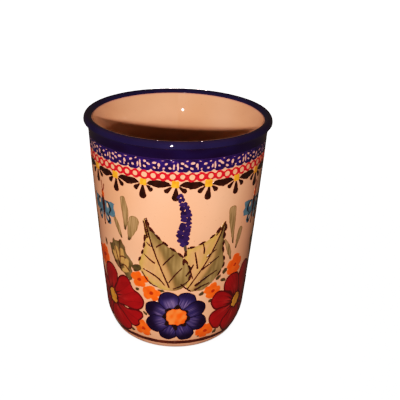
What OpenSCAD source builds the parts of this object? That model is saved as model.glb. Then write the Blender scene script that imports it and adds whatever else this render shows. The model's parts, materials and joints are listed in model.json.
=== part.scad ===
// Straight-sided stoneware mug with a rolled cobalt lip, a wiped foot and a hand-painted wall.
// The clay body carries a liner glaze, an outer glaze, a cobalt glaze over the lip and a glaze
// patch under the base. Each painted colour is a thin fired film on the outer glaze.
// Origin: centre of the foot ring, on the surface the mug stands on. +Z is up, -Y is the front.

/* [Body] */
// Overall height, from the foot to the top of the lip
height = 102.2; // [98:0.1:108]
// Outside diameter of the rolled lip
rim_d = 81.4; // [80:0.1:83]
// Outside diameter of the wall just under the lip
neck_d = 77.8; // [75:0.1:78.4]
// Outside diameter of the wall where the heel curve starts
heel_d = 64.8; // [62:0.1:68]
// Height of the heel curve, where the wall turns in to the foot
heel_h = 11.5; // [10.5:0.5:13]
// Distance the heel curve draws in at the foot
foot_inset = 3; // [2.6:0.1:3.6]
// Fullness of the wall between heel and neck, 0 for a straight cone
belly = 0.26; // [0:0.02:0.3]
// Thickness of the wall
wall_t = 4.6; // [4.2:0.1:5]
// Thickness of the floor above the foot recess
floor_t = 4.5; // [4:0.1:6]

/* [Lip] */
// Height of the rolled lip below its widest line
lip_b = 1; // [0.9:0.05:1.3]
// Height of the rolled lip above its widest line
lip_t = 2.3; // [2:0.1:2.6]
// Distance from the outside of the lip in to its crest
lip_crest = 1.6; // [1.2:0.1:2]
// Distance the lip rolls in from its centre line
lip_in = 2; // [1.8:0.05:2.2]
// Distance the wall flares out under the lip
lip_flare = 0.6; // [0.2:0.1:0.7]
// Height over which the inside flares out to the lip
flare_h = 11; // [9:0.5:13]

/* [Foot] */
// Width of the flat ring the mug stands on
ring_w = 3.6; // [3:0.1:4.5]
// Depth of the recess inside the foot ring
recess_h = 2.2; // [1.5:0.1:2.6]
// Height of bare clay left below the glaze
bare_h = 3.1; // [2.7:0.1:3.5]

/* [Glaze and paint] */
// Thickness of the fired glaze
glaze_t = 0.3; // [0.25:0.05:0.4]
// Thickness of one painted film
paint_t = 0.1; // [0.08:0.01:0.12]

/* [Bands] */
// Depth of the solid cobalt band below the lip's widest line
cobalt_h = 5.5; // [5.2:0.1:6]
// Height of the stamped scale band
stamp_h = 5.3; // [5:0.1:5.5]
// Height of the red ring chain
chain_h = 3.9; // [3.7:0.1:4]
// Number of rings in the chain
n_rings = 63; // [60:1:64]
// Number of garland motifs
n_garland = 18; // [12:1:18]
// Number of scales in each stamped row
n_scales = 48; // [40:1:56]

/* [Bouquet] */
// Radius of the blue flower
blue_r = 13.2; // [12:0.1:13.5]
// Radius of the red flower
red_r = 17.5; // [16:0.1:18]
// Height of the flower centres above the foot
flower_z = 19.5; // [19:0.1:20.5]
// Length of the large leaves
leaf_l = 32; // [28:0.5:33]

/* [Hidden] */
$fn = 96;

eps = 0.01;
repeats = [0, 120, 240];      // the bouquet is painted three times round the mug
half_turn = 60;               // a red flower and a butterfly stand between two bouquets
band_r0 = 33;                 // radius at which the outlines of the bands start

lip_z = height - lip_t;       // widest line of the rolled lip
crease = 63;                  // angle below the widest line at which the lip meets the wall
neck_z = lip_z - lip_b * sin(crease) - 0.15;
neck_r = neck_d / 2;
lip_c = neck_r - 0.3;         // radius of the lip's centre line
heel_r = heel_d / 2;
rim_r = rim_d / 2;
crest_r = rim_r - lip_crest;
floor_z = recess_h + floor_t;
corner_r = 9;                 // inside corner between wall and floor
liner_edge = 153;             // angle round the lip where the cobalt ends inside
cobalt_z = lip_z - cobalt_h;
stamp_z = cobalt_z - stamp_h;
chain_z = stamp_z - chain_h;
band_z = chain_z - 11;        // the garland and the bands above it lie over this height

// Outside radius of the finished wall: a full cone, drawn in at the heel and flared at the lip
function cone_r(z) =
    let (t = (z - heel_h) / (neck_z - heel_h))
    heel_r + (neck_r - heel_r) * (t + belly * t * (1 - t));
function full_r(z) = cone_r(z)
    - foot_inset * pow(max(0, heel_h - z) / heel_h, 1.7)
    + lip_flare * pow(max(0, z - cobalt_z) / (neck_z - cobalt_z), 2);

// Heights at which the wall changes slope; the painted bands share the last stretch
levels = concat([for (i = [0:6]) heel_h * i / 6],
                [for (i = [1:3]) heel_h + (band_z - heel_h) * i / 3],
                [for (i = [0:3]) cobalt_z + (neck_z - cobalt_z) * i / 3]);
skin = [for (z = levels) [z, full_r(z)]];
function skin_r(z) = lookup(z, skin);

// Outside face from z0 to z1, moved out by g
function wall_path(g, z0, z1) = concat(
    [[skin_r(z0) + g, z0]],
    [for (z = levels) if (z > z0 + eps && z < z1 - eps) [skin_r(z) + g, z]],
    [[skin_r(z1) + g, z1]]);

// Rolled lip from angle a0 to a1, moved out by g; 0 is outside, 90 is the top, 180 is inside.
// Its crest is near the outside, and its top slopes in from there.
function lip_path(g, a0, a1, n) = [for (i = [0:n])
    let (a = a0 + (a1 - a0) * i / n,
         c = a < 0 ? lip_c : crest_r,
         ax = (a < 90 ? rim_r - c : c - lip_c + lip_in) + g)
    [c + ax * cos(a), lip_z + ((a < 0 ? lip_b : lip_t) + g) * sin(a)]];

// Inside radius of the finished wall, flaring to meet the lip: a curve, then a straight cone
function bore_r(z) =
    let (u = max(0, (z - lip_z + flare_h) / flare_h),
         gap = lip_c - lip_in - (cone_r(lip_z) - wall_t))
    cone_r(z) - wall_t + gap * (u < 0.5 ? 4 * u * u : 4 * u - 1) / 3;

// Inside face from the lip down to the axis, moved towards the clay by g
function bore_path(g) = concat(
    [for (i = [1:10]) let (z = lip_z - flare_h * i / 10) [bore_r(z) + g, z]],
    [for (i = [1:6])
        let (z0 = lip_z - flare_h, z1 = floor_z + corner_r, z = z0 + (z1 - z0) * i / 6)
        [bore_r(z) + g, z]],
    [for (i = [1:8])
        let (a = 90 * i / 8)
        [bore_r(floor_z + corner_r) - corner_r + (corner_r + g) * cos(a),
         floor_z + corner_r - (corner_r + g) * sin(a)]],
    [[0, floor_z - g]]);

function turned(p) = [for (i = [len(p) - 1:-1:0]) p[i]];

// Thin revolved layer on the finished wall between z0 and z1; level 1 lies on level 0
module film(z0, z1, level = 0) {
    g = level * paint_t;
    rotate_extrude()
        polygon(concat(wall_path(g, z0, z1), turned(wall_path(g + paint_t, z0, z1))));
}

// Flat outline pressed through the wall at angle phi and height z, front at phi 0.
// It starts at radius r0, so that neighbours stay apart.
module on_wall(phi, z, tilt = 0, r0 = 25) {
    rotate([0, 0, phi])
        translate([0, -r0, z])
            rotate([90, 0, 0])
                linear_extrude(height = rim_r + 3 - r0)
                    rotate(tilt)
                        children();
}

// Brush stroke from the origin along +Y; skew above 1 moves its widest place to the far end
function stroke(length, width, skew = 1, n = 6) = concat(
    [for (i = [0:n]) let (t = i / n) [width / 2 * sin(180 * pow(t, skew)), length * t]],
    [for (i = [n - 1:-1:1]) let (t = i / n) [-width / 2 * sin(180 * pow(t, skew)), length * t]]);

// One side of a leaf, from its midrib out to width; side is 1 or -1
function leaf_half(length, width, side, n = 9) = concat(
    [[0, 0]],
    [for (i = [1:n - 1]) let (t = i / n)
        [side * width * pow(sin(180 * pow(t, 0.68)), 0.85), length * t]],
    [[0, length]]);

// Round outline with rounded lobes of depth d
function rosette(r, d, lobes, n) = [for (i = [0:n - 1])
    let (a = 360 * i / n, q = r + d * cos(lobes * a)) [q * sin(a), q * cos(a)]];

module petals(n, r_in, r_out, width, skew, turn = 0) {
    for (i = [0:n - 1])
        rotate(turn + 360 * i / n)
            translate([0, r_in])
                polygon(stroke(r_out - r_in, width, skew));
}

// Body: one thrown piece, bare inside the glaze lines
module clay_body() {
    g = glaze_t;
    ring_out = skin_r(0) - g;
    ring_in = ring_out - ring_w;
    color("burlywood")
        rotate_extrude()
            polygon(concat(
                [[0, recess_h], [ring_in - 1.2, recess_h], [ring_in - 0.2, 0.3], [ring_in, 0],
                 [ring_out - 0.4, 0]],
                wall_path(-g, 0.5, neck_z),
                lip_path(-g, -crease, liner_edge, 18),
                lip_path(-g, liner_edge + 10, 180, 2),
                bore_path(g)));
}

module liner_glaze() {
    color("antiquewhite")
        rotate_extrude()
            polygon(concat(
                lip_path(0, liner_edge, 180, 3), bore_path(0),
                turned(concat(lip_path(-glaze_t, liner_edge, 180, 3), bore_path(glaze_t)))));
}

module outer_glaze() {
    color("antiquewhite")
        rotate_extrude()
            polygon(concat(
                wall_path(0, bare_h, cobalt_z),
                turned(wall_path(-glaze_t, bare_h, cobalt_z))));
}

module cobalt_rim() {
    color("midnightblue")
        rotate_extrude()
            polygon(concat(
                wall_path(0, cobalt_z, neck_z), lip_path(0, -crease, liner_edge, 18),
                turned(concat(wall_path(-glaze_t, cobalt_z, neck_z),
                              lip_path(-glaze_t, -crease, liner_edge, 18)))));
}

module base_glaze() {
    r = skin_r(0) - glaze_t - ring_w - 1.8;
    color("antiquewhite")
        translate([0, 0, recess_h - glaze_t])
            cylinder(r = r, h = glaze_t);
}

// Dark line brushed round the heel where the glaze stops
module foot_line() {
    color("saddlebrown")
        film(bare_h, bare_h + 2.2);
}

// Stamped band: cobalt with two rows of oval scales left white
module stamp_band() {
    color("darkslateblue")
        difference() {
            film(stamp_z, cobalt_z);
            for (row = [0, 1], i = [0:n_scales - 1])
                on_wall(360 * (i + row / 2) / n_scales, stamp_z + stamp_h * (0.28 + 0.44 * row),
                        0, band_r0)
                    scale([0.9, 1.1])
                        circle(r = 1, $fn = 8);
        }
}

// Chain of red rings, each leaving a round of glaze in its middle
module ring_chain() {
    color("crimson")
        difference() {
            film(chain_z, stamp_z - 0.2);
            for (i = [0:n_rings - 1])
                on_wall(360 * i / n_rings, chain_z + chain_h / 2, 0, band_r0)
                    circle(r = chain_h * 0.31, $fn = 12);
        }
}

module garland_petals() {
    z = chain_z - 1.2;
    color("black")
        intersection() {
            film(chain_z - 9, chain_z);
            for (i = [0:n_garland - 1])
                on_wall(360 * i / n_garland, z, 0, band_r0) {
                    rotate(180)
                        translate([0, 1.4])
                            polygon(stroke(5.5, 2.7, 1.4));
                    for (a = [-52, 52])
                        rotate(180 + a)
                            translate([0, 1.5])
                                polygon(stroke(3, 1.6, 1.3));
                    for (a = [-94, 94])
                        rotate(180 + a)
                            translate([0, 1.5])
                                polygon(stroke(3.6, 2.7, 1));
                }
        }
}

module garland_dots() {
    color("gold")
        intersection() {
            film(chain_z - 3, chain_z);
            for (i = [0:n_garland - 1])
                on_wall(360 * i / n_garland, chain_z - 1.2, 0, band_r0)
                    circle(r = 1.1, $fn = 12);
        }
}

// Flower spike of stacked buds that leans one way and back
module lavender_spikes() {
    n = 9;
    color("darkslateblue")
        intersection() {
            film(flower_z + 37, flower_z + 60);
            for (k = repeats, i = [0:n - 1])
                let (t = i / (n - 1))
                    on_wall(k + 5 + 1.6 * sin(300 * t), flower_z + 40 + 18 * t)
                        scale([1.9 - 1.1 * t, 1.35])
                            circle(r = 1.2, $fn = 12);
        }
}

module lavender_stems() {
    color("darkolivegreen")
        intersection() {
            film(flower_z + 32, flower_z + 37);
            for (k = repeats)
                on_wall(k + 5.5, flower_z + 34.5)
                    square([0.9, 4.2], center = true);
        }
}

// The two large leaves of a bouquet; each has a light and a dark half
module leaf_place(k, left) {
    if (left)
        on_wall(k - 5, flower_z + 15.6, 16)
            children();
    else
        on_wall(k + 13.5, flower_z + 14.6, -17)
            children();
}

module leaf_light_halves() {
    color("khaki")
        intersection() {
            film(flower_z + 8, flower_z + 50);
            for (k = repeats) {
                leaf_place(k, true)
                    polygon(leaf_half(leaf_l, 7.6, -1));
                leaf_place(k, false)
                    polygon(leaf_half(leaf_l, 7.6, -1));
            }
        }
}

module leaf_dark_halves() {
    color("olivedrab")
        intersection() {
            film(flower_z + 8, flower_z + 50);
            for (k = repeats) {
                leaf_place(k, true)
                    polygon(leaf_half(leaf_l, 7.2, 1));
                leaf_place(k, false)
                    polygon(leaf_half(leaf_l, 7.2, 1));
            }
        }
}

// Midribs and side veins, drawn over the leaf colour
module leaf_veins() {
    color("black")
        intersection() {
            film(flower_z + 8, flower_z + 50, 1);
            for (k = repeats, left = [true, false])
                leaf_place(k, left) {
                    translate([0, 1])
                        polygon(stroke(leaf_l - 3, 0.8));
                    for (i = [1:3], side = [-1, 1])
                        translate([side * 0.8, 3 + 5 * i])
                            rotate(-side * 48)
                                polygon(stroke(4.4, 0.6));
                }
        }
}

module blue_petals() {
    color("mediumblue")
        intersection() {
            film(flower_z - blue_r - 1, flower_z + blue_r + 1);
            for (k = repeats)
                on_wall(k + 1.5, flower_z)
                    petals(8, 4.4, blue_r, 7, 1.35, 22.5);
        }
}

module blue_flower_centres() {
    color("darkorange")
        intersection() {
            film(flower_z - 5, flower_z + 5);
            for (k = repeats)
                on_wall(k + 1.5, flower_z)
                    circle(r = 4, $fn = 12);
        }
}

module red_petals() {
    color("firebrick")
        intersection() {
            film(bare_h + 1.8, flower_z + red_r + 2);
            for (k = repeats)
                on_wall(k + half_turn, flower_z + 1)
                    petals(6, 3.2, red_r, 12.4, 1.3, 30);
        }
}

module red_flower_centres() {
    color("goldenrod")
        intersection() {
            film(flower_z - 4, flower_z + 6);
            for (k = repeats)
                on_wall(k + half_turn, flower_z + 1)
                    circle(r = 2.8, $fn = 12);
        }
}

// Angle and height of each small orange blossom, measured from the flower centres
blossoms = [[-27.5, 18.5], [-17.5, 13], [20, 13.5], [29.5, 18], [-25.5, -9], [25.5, -9.5]];

module blossom_petals() {
    color("orangered")
        intersection() {
            film(flower_z - 14, flower_z + 24);
            for (k = repeats, p = blossoms)
                on_wall(k + p[0], flower_z + p[1])
                    difference() {
                        polygon(rosette(2.3, 0.35, 5, 20));
                        circle(r = 0.8, $fn = 8);
                    }
        }
}

module blossom_centres() {
    color("firebrick")
        intersection() {
            film(flower_z - 14, flower_z + 24);
            for (k = repeats, p = blossoms)
                on_wall(k + p[0], flower_z + p[1])
                    circle(r = 0.75, $fn = 8);
        }
}

// Loose fans of three green strokes, one on each side of a butterfly
module sprigs() {
    color("darkolivegreen")
        intersection() {
            film(flower_z + 30, flower_z + 58);
            for (k = repeats, side = [-1, 1])
                on_wall(k + side * 37, flower_z + 34) {
                    translate([0, 5])
                        polygon(stroke(16, 2.6, 1.8));
                    for (a = [-34, 30])
                        rotate(a)
                            translate([0, 3])
                                polygon(stroke(10, 2, 1.8));
                }
        }
}

// Small toothed leaf beside each bouquet
module side_leaves() {
    color("darkolivegreen")
        intersection() {
            film(flower_z + 16, flower_z + 36);
            for (k = repeats)
                on_wall(k - 40.5, flower_z + 19)
                    for (a = [-40, 0, 40])
                        rotate(a)
                            polygon(stroke(12 - abs(a) / 10, 5, 0.9));
        }
}

// Short dark strokes that fill the gaps round the flowers
module bud_leaves() {
    places = [[-9.5, 14.6, 20], [-31, 13.2, -60], [21.5, 6.5, 40], [34, 12.3, -20],
              [-20.5, -11.6, 60], [20.5, -12, -60]];
    color("darkgreen")
        intersection() {
            film(flower_z - 14, flower_z + 22);
            for (k = repeats, p = places)
                on_wall(k + p[0], flower_z + p[1], p[2])
                    polygon(stroke(2.4, 1.3));
        }
}

module butterfly_wings() {
    color("cadetblue")
        intersection() {
            film(flower_z + 34, flower_z + 56);
            for (k = repeats, side = [-1, 1])
                on_wall(k + half_turn, flower_z + 44.5) {
                    rotate(-side * 62)
                        translate([0, 1.2])
                            polygon(stroke(8, 5.5, 1.5));
                    rotate(-side * 128)
                        translate([0, 1.3])
                            polygon(stroke(5.6, 4, 1.4));
                }
        }
}

module butterfly_bodies() {
    color("maroon")
        intersection() {
            film(flower_z + 34, flower_z + 60);
            for (k = repeats)
                on_wall(k + half_turn, flower_z + 38) {
                    polygon(stroke(13, 1.5, 1.2));
                    for (a = [-16, 16])
                        translate([0, 12.2])
                            rotate(a)
                                polygon(stroke(4, 0.5));
                }
        }
}

clay_body();
liner_glaze();
outer_glaze();
cobalt_rim();
base_glaze();
foot_line();
stamp_band();
ring_chain();
garland_petals();
garland_dots();
lavender_spikes();
lavender_stems();
leaf_light_halves();
leaf_dark_halves();
leaf_veins();
blue_petals();
blue_flower_centres();
red_petals();
red_flower_centres();
blossom_petals();
blossom_centres();
sprigs();
side_leaves();
bud_leaves();
butterfly_wings();
butterfly_bodies();
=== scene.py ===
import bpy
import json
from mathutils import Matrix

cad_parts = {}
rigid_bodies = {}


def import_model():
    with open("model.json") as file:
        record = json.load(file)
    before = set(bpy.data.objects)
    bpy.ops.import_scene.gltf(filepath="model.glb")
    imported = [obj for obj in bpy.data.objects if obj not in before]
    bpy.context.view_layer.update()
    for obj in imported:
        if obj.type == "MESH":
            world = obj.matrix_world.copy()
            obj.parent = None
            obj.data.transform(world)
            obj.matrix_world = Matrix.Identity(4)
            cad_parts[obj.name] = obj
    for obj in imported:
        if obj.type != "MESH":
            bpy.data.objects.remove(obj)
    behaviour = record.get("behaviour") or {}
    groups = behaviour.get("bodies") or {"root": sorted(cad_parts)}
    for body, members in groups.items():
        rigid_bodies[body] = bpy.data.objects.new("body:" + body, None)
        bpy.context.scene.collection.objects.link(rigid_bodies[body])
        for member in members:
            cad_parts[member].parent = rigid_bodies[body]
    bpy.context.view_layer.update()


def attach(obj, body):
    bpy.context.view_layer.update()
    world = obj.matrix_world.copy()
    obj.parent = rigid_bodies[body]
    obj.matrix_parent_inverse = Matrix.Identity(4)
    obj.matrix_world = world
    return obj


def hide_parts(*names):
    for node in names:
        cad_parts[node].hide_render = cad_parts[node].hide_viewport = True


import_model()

import json
import math

import bpy
import numpy as np
from mathutils import Matrix, Vector

# Every length below is in millimetres until a mesh is written.
MM = 0.001

# ---------------------------------------------------------------- shape of the mug
HEIGHT, RIM_R, NECK_R, HEEL_R = 102.2, 40.7, 38.9, 32.4
HEEL_H, FOOT_INSET, BELLY = 11.5, 3.0, 0.26
WALL_T, FLOOR_T, CORNER_R = 4.6, 4.5, 9.0
LIP_B, LIP_T, LIP_IN, LIP_FLARE, FLARE_H = 1.0, 2.3, 2.0, 0.6, 11.0
RECESS_H, BARE_H, GLAZE_T = 2.2, 3.1, 0.3
LIP_CREASE = 63           # angle below the widest line at which the lip meets the wall
LINER_EDGE = 163          # angle round the lip where the cobalt ends inside
LIP_Z = HEIGHT - LIP_T
CREST_R = RIM_R - 1.6     # where the lip is highest
NECK_Z = LIP_Z - LIP_B * math.sin(math.radians(LIP_CREASE)) - 0.15
LIP_C = NECK_R - 0.3
FLOOR_Z = RECESS_H + FLOOR_T
COBALT_Z = LIP_Z - 5.5
STAMP_Z = COBALT_Z - 5.3
CHAIN_Z = STAMP_Z - 3.9


def cone_r(z):
    t = (z - HEEL_H) / (NECK_Z - HEEL_H)
    return HEEL_R + (NECK_R - HEEL_R) * (t + BELLY * t * (1 - t))


def full_r(z):
    """Outside radius of the glazed wall."""
    heel = np.maximum(0, HEEL_H - z) / HEEL_H
    flare = np.maximum(0, z - COBALT_Z) / (NECK_Z - COBALT_Z)
    return cone_r(z) - FOOT_INSET * heel ** 1.7 + LIP_FLARE * flare ** 2


def bore_r(z):
    u = np.maximum(0, (z - LIP_Z + FLARE_H) / FLARE_H)
    gap = LIP_C - LIP_IN - (cone_r(LIP_Z) - WALL_T)
    return cone_r(z) - WALL_T + gap * np.where(u < 0.5, 4 * u * u, 4 * u - 1) / 3


def lip_point(deg, grow=0.0):
    """A point on the rolled lip: 0 is outside, 90 the top, 180 inside."""
    a = math.radians(deg)
    centre, tall = (LIP_C, LIP_B) if deg < 0 else (CREST_R, LIP_T)
    wide = RIM_R - centre if deg < 90 else centre - LIP_C + LIP_IN
    return centre + (wide + grow) * math.cos(a), LIP_Z + (tall + grow) * math.sin(a)


# ---------------------------------------------------------------- colours
def lin(rgb):
    """sRGB in 0 to 255 to linear."""
    c = np.asarray(rgb, float) / 255
    return np.where(c <= 0.04045, c / 12.92, ((c + 0.055) / 1.055) ** 2.4)


CREAM = np.array((245, 191, 147.0))
CLAY = np.array((250, 196, 158.0))
COBALT = np.array((15, 8, 52.0))
COBALT_DARK = np.array((13, 3, 34.0))
STAMP_BLUE = np.array((30, 16, 92.0))
INK = np.array((26, 9, 5.0))
LINE = np.array((52, 20, 12.0))
RED_RING = np.array((214, 22, 40.0))
RED = np.array((162, 16, 21.0))
RED_DARK = np.array((70, 6, 10.0))
YELLOW = np.array((248, 188, 42.0))
ORANGE = np.array((255, 106, 26.0))
ORANGE_DARK = np.array((196, 52, 8.0))
NAVY = np.array((13, 4, 28.0))
VIOLET = np.array((33, 29, 84.0))
LILAC = np.array((122, 114, 164.0))
OCHRE = np.array((208, 162, 100.0))
OCHRE_YELLOW = np.array((194, 166, 76.0))
OLIVE = np.array((144, 130, 78.0))
OLIVE_DARK = np.array((88, 78, 38.0))
WASH = np.array((170, 148, 100.0))
GREEN_DARK = np.array((56, 52, 30.0))
TEAL = np.array((84, 136, 152.0))
SPOT = np.array((240, 205, 165.0))
BAND_GROUND = np.array((226, 186, 172.0))
GLAZE_EDGE = np.array((196, 128, 88.0))
# painted light: a lighter blue for the lip above the crease, where the lip faces the lamp
COBALT_LIT_LIP = np.array((22, 21, 58.0))
COBALT_THIN = np.array((40, 24, 46.0))
COBALT_BLEED = np.array((150, 110, 120.0))
BASE_EDGE = np.array((200, 140, 100.0))
STAMP_EDGE = np.array((84, 56, 140.0))
RING_EDGE = np.array((240, 96, 84.0))
INK_EDGE = np.array((96, 48, 26.0))
SPIKE_DARK = np.array((22, 11, 50.0))
SPIKE_BLUE = np.array((44, 30, 92.0))
SPIKE_EDGE = np.array((120, 92, 130.0))
STEM_GREY = np.array((64, 62, 60.0))
HEART_DARK = np.array((24, 10, 10.0))
RED_SHEEN = np.array((206, 66, 58.0))
ORANGE_DEEP = np.array((250, 84, 10.0))
ORANGE_EDGE = np.array((255, 150, 84.0))
INSECT_BROWN = np.array((74, 22, 14.0))
HEAD_ORANGE = np.array((206, 84, 22.0))
HEAD_RED = np.array((150, 40, 14.0))
FEELER = np.array((104, 40, 20.0))
HEART_YELLOW = np.array((232, 176, 60.0))
HEART_OCHRE = np.array((206, 140, 40.0))
HEART_PALE = np.array((255, 132, 56.0))
HEART_ORANGE = np.array((252, 92, 14.0))
FOOT_DARK = np.array((58, 18, 12.0))
FOOT_BROWN = np.array((92, 38, 22.0))


# ---------------------------------------------------------------- small field tools
def smooth(lo, hi, v):
    t = np.clip((v - lo) / (hi - lo), 0, 1)
    return t * t * (3 - 2 * t)


def mix(a, b, t):
    return a + (b - a) * np.asarray(t)[..., None]


def noise(x, y, size, seed):
    """Soft noise from -1 to 1 with lumps of about this size."""
    rng = np.random.default_rng(seed)
    total = 0
    for _ in range(7):
        a, k, p = rng.uniform(0, math.pi), rng.uniform(0.6, 1.5), rng.uniform(0, 6.283)
        w = 2 * math.pi * k / (2.2 * size)
        total = total + np.sin(w * (x * math.cos(a) + y * math.sin(a)) + p)
    return total / 3.2


def streaks(along, across, width, length, seed):
    """Brush hairs: noise drawn out along the stroke."""
    return noise(along * width / length, across, width, seed)


def capsule(x, y, a, b, ra, rb):
    """Depth inside a stroke from a to b whose half width goes from ra to rb."""
    dx, dy = b[0] - a[0], b[1] - a[1]
    t = np.clip(((x - a[0]) * dx + (y - a[1]) * dy) / (dx * dx + dy * dy + 1e-9), 0, 1)
    return ra + (rb - ra) * t - np.hypot(x - a[0] - t * dx, y - a[1] - t * dy)


def ellipse(x, y, cx, cy, a, b, deg, power=2.0):
    """Depth inside an ellipse, or a squarish one with a power over 2."""
    c, s = math.cos(math.radians(deg)), math.sin(math.radians(deg))
    u, v = (x - cx) * c + (y - cy) * s, (y - cy) * c - (x - cx) * s
    r = (np.abs(u / a) ** power + np.abs(v / b) ** power) ** (1 / power)
    return (1 - r) * min(a, b)


def spline(pts, n, closed=True):
    """Points on a smooth curve through pts."""
    p = np.asarray(pts, float)
    if closed:
        p = np.vstack([p[-1:], p, p[:2]])
    else:
        p = np.vstack([2 * p[0] - p[1], p, 2 * p[-1] - p[-2]])
    out = []
    for i in range(1, len(p) - 2):
        for t in np.arange(n) / n:
            a, b, c, d = p[i - 1], p[i], p[i + 1], p[i + 2]
            out.append(0.5 * (2 * b + (c - a) * t + (2 * a - 5 * b + 4 * c - d) * t * t
                              + (3 * b - a - 3 * c + d) * t ** 3))
    if not closed:
        out.append(p[-2])
    return np.array(out)


def near(x, y, path, closed=False):
    """Distance to a polyline, share of its length there, and side (left of it is positive)."""
    best = np.full(np.shape(x), 1e9)
    at, side = np.zeros_like(best), np.zeros_like(best)
    q = np.vstack([path, path[:1]]) if closed else path
    steps = np.hypot(*np.diff(q, axis=0).T)
    total, run = steps.sum(), 0.0
    for (ax, ay), (bx, by), ln in zip(q[:-1], q[1:], steps):
        dx, dy = bx - ax, by - ay
        t = np.clip(((x - ax) * dx + (y - ay) * dy) / (ln * ln + 1e-12), 0, 1)
        d = np.hypot(x - ax - t * dx, y - ay - t * dy)
        m = d < best
        best = np.where(m, d, best)
        at = np.where(m, (run + t * ln) / total, at)
        side = np.where(m, np.sign(dx * (y - ay) - dy * (x - ax)), side)
        run += ln
    return best, at, side


def inside(x, y, path):
    """Depth inside a closed outline, negative outside."""
    d, _, _ = near(x, y, path, closed=True)
    hit = np.zeros(np.shape(x), bool)
    for (ax, ay), (bx, by) in zip(path, np.roll(path, -1, axis=0)):
        if ay != by:
            hit ^= ((ay > y) != (by > y)) & (x < (bx - ax) * (y - ay) / (by - ay) + ax)
    return np.where(hit, d, -d)


def stroke(x, y, pts, widths):
    """Depth inside a brush stroke along pts, with these half widths spread along it."""
    d, t, _ = near(x, y, spline(pts, 6, closed=False))
    return np.interp(t, np.linspace(0, 1, len(widths)), widths) - d, t


class Layer:
    """Paint on a grid: each new shape covers the ones before it."""

    def __init__(self, x, y):
        self.x, self.y = x, y
        self.depth = np.full(x.shape, -9.0)
        self.rgb = np.zeros(x.shape + (3,))

    def put(self, depth, rgb):
        rgb = np.broadcast_to(rgb, self.rgb.shape)
        over = depth > np.minimum(self.depth, 0)
        self.rgb = np.where(over[..., None], rgb, self.rgb)
        self.depth = np.maximum(self.depth, depth)

    def tint(self, amount, rgb):
        self.rgb = mix(self.rgb, np.asarray(rgb, float), np.clip(amount, 0, 1))


# ---------------------------------------------------------------- films on the wall
CASES = {
    1: "0ad", 2: "1ba", 3: "01bd", 4: "2cb", 5: "0ab2cd", 6: "12ca", 7: "012cd", 8: "3dc",
    9: "0ac3", 10: "1bc3da", 11: "01bc3", 12: "23db", 13: "0ab23", 14: "123da", 15: "0123",
}


class Film:
    """Collects patches of painted film into one mesh that follows the wall."""

    def __init__(self, lift):
        self.lift = lift
        self.verts, self.faces, self.rgb, self.n = [], [], [], 0

    def patch(self, phi0, ref_r, x0, x1, z0, z1, step, paint, wrap=False):
        """paint(layer) fills a grid of x, along the wall from phi0 degrees, and z."""
        nx = int(round((x1 - x0) / step)) + (0 if wrap else 1)
        nz = int(round((z1 - z0) / step)) + 1
        hx = (x1 - x0) / (nx if wrap else nx - 1)
        hz = (z1 - z0) / (nz - 1)
        x, z = np.meshgrid(x0 + hx * np.arange(nx), z0 + hz * np.arange(nz))
        layer = Layer(x, z)
        paint(layer)
        f, c = layer.depth, layer.rgb
        f = np.where(np.abs(f) < 1e-4, 1e-4, f)

        def crossing(fa, fb):
            cut = (fa > 0) != (fb > 0)
            return np.where(cut, fa / np.where(cut, fa - fb, 1), 0.5)

        fr, cr = np.roll(f, -1, 1), np.roll(c, -1, 1)
        fu, cu = np.roll(f, -1, 0), np.roll(c, -1, 0)
        tr, tu = crossing(f, fr), crossing(f, fu)
        px = np.concatenate([x.ravel(), (x + hx * tr).ravel(), x.ravel()])
        pz = np.concatenate([z.ravel(), z.ravel(), (z + hz * tu).ravel()])
        painted = (f > 0)[..., None]
        pc = np.concatenate([q.reshape(-1, 3) for q in
                             (c, np.where(painted, c, cr), np.where(painted, c, cu))])
        size = nx * nz
        cols, rows = np.meshgrid(np.arange(nx if wrap else nx - 1), np.arange(nz - 1))
        nxt = (cols + 1) % nx
        c0, c1 = rows * nx + cols, rows * nx + nxt
        c3, c2 = (rows + 1) * nx + cols, (rows + 1) * nx + nxt
        ids = {"0": c0, "1": c1, "2": c2, "3": c3,
               "a": size + c0, "b": 2 * size + c1, "c": size + c3, "d": 2 * size + c0}
        on = (f > 0).ravel()
        kind = on[c0] + 2 * on[c1] + 4 * on[c2] + 8 * on[c3]
        made = []
        for k, keys in CASES.items():
            m = kind == k
            if m.any():
                made.append(np.stack([ids[q][m] for q in keys], 1))
        if not made:
            return
        used = np.unique(np.concatenate([m.ravel() for m in made]))
        new = np.full(3 * size, -1)
        new[used] = np.arange(len(used)) + self.n
        for m in made:
            self.faces += new[m].tolist()
        a = math.radians(phi0) + px[used] / ref_r
        zz = pz[used]
        r = full_r(zz) + self.lift
        self.verts.append(np.stack([r * np.sin(a), -r * np.cos(a), zz], 1))
        self.rgb.append(pc[used])
        self.n += len(used)

    def write(self, name, slot, nodes, material):
        v, c = np.concatenate(self.verts), np.concatenate(self.rgb)
        # The film's edge turns down into the glaze, so no edge stands open.
        seen = {}
        for f in self.faces:
            for i, j in zip(f, f[1:] + f[:1]):
                if (j, i) in seen:
                    del seen[(j, i)]
                else:
                    seen[(i, j)] = True
        rim = sorted({i for e in seen for i in e})
        low = {i: self.n + k for k, i in enumerate(rim)}
        sunk = v[rim].copy()
        shrink = 1 - (self.lift + 0.06) / np.hypot(sunk[:, 0], sunk[:, 1])
        sunk[:, :2] *= shrink[:, None]
        skirt = [(j, i, low[i], low[j]) for i, j in seen]
        return build(name, np.vstack([v, sunk]), self.faces + skirt, nodes, material,
                     rgb=np.vstack([c, c[rim]]), flat_from=len(self.faces))


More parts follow.
